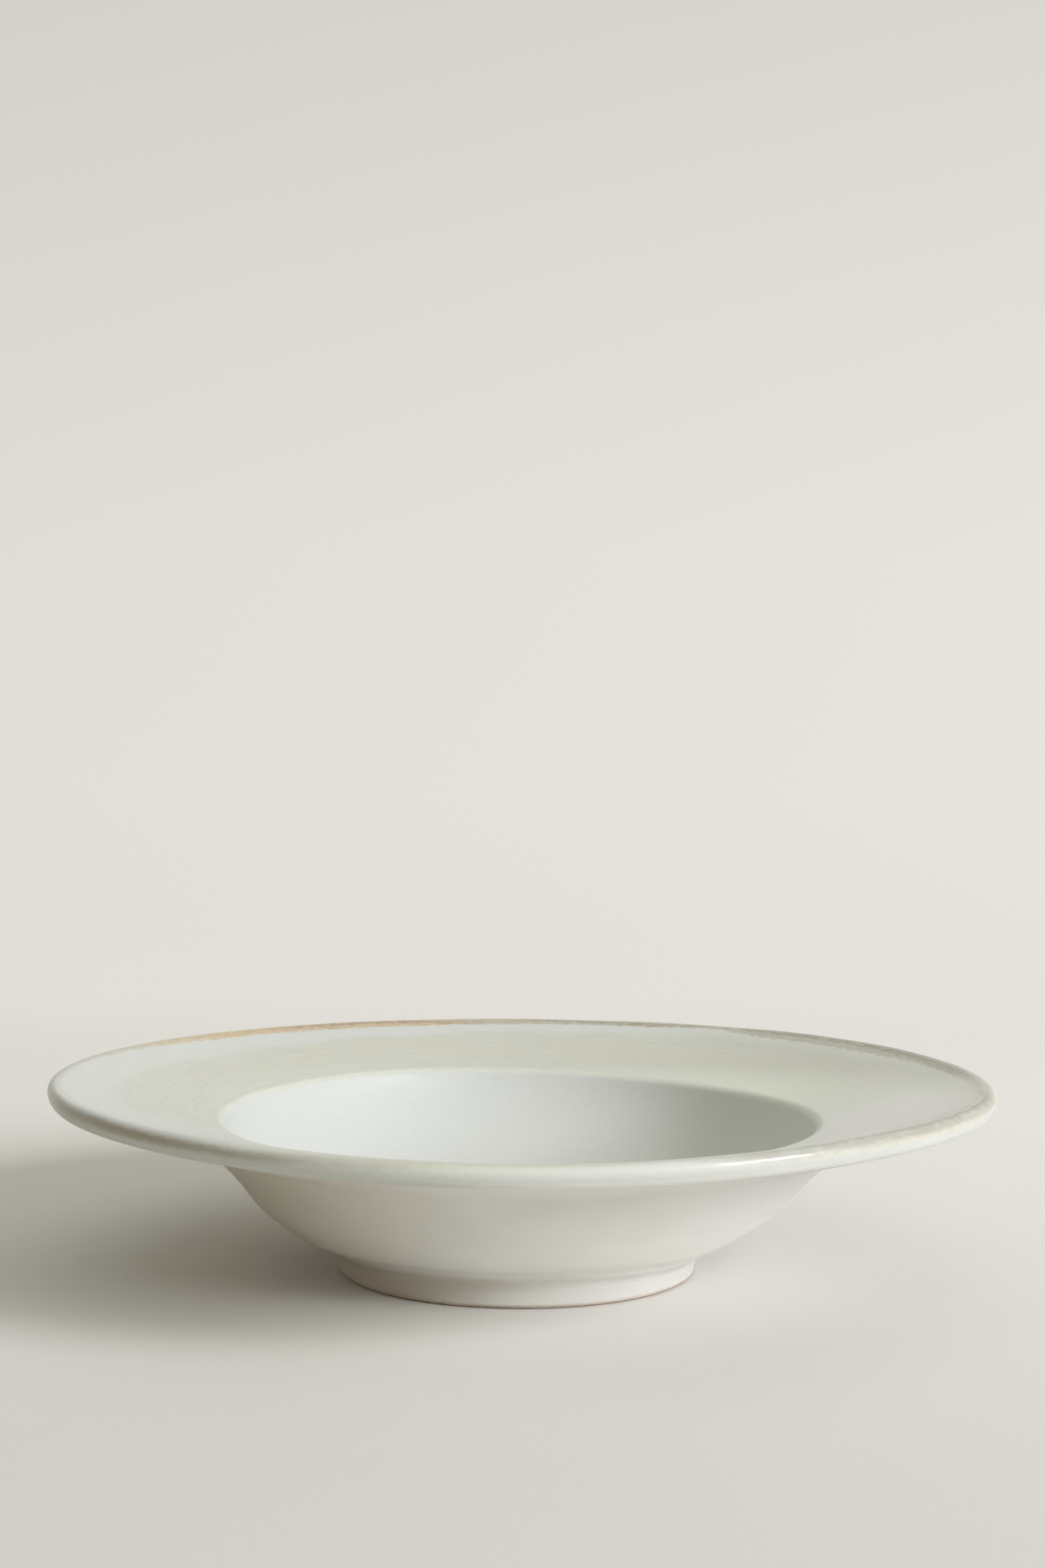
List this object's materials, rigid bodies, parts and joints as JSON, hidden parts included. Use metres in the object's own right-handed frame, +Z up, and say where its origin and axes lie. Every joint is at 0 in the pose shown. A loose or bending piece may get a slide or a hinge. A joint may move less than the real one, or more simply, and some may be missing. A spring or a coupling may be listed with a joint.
{
  "type": "pasta bowl",
  "caption": "Wide-flanged round stoneware pasta bowl: deep well, sloping flange with a brushed glaze band, rounded lip and low foot ring.",
  "frame": {"origin": "centre of the foot's resting circle, on the surface that the bowl stands on", "axes": "+Z up along the bowl's axis of revolution; the picture looks along +Y, with +X to its right"},
  "size_m": [0.28, 0.28, 0.058],
  "materials": {
    "clay": "fired stoneware clay, matt",
    "bare_clay": "bare fired stoneware, sponged smooth, matt",
    "white_glaze": "pale white satin gloss glaze",
    "sage_glaze": "brushed sage glaze, satin gloss, streaked and mottled",
    "lip_glaze": "thin glaze broken to peach, olive and brown over the lip",
    "satin_glaze": "warm grey-white satin glaze"
  },
  "bodies": {
    "root": {"clay_body": "clay", "foot_ring": "bare_clay", "inner_glaze": "white_glaze", "band_glaze": "sage_glaze", "lip_glaze": "lip_glaze", "outer_glaze": "satin_glaze", "base_glaze": "satin_glaze"}
  },
  "joints": []
}
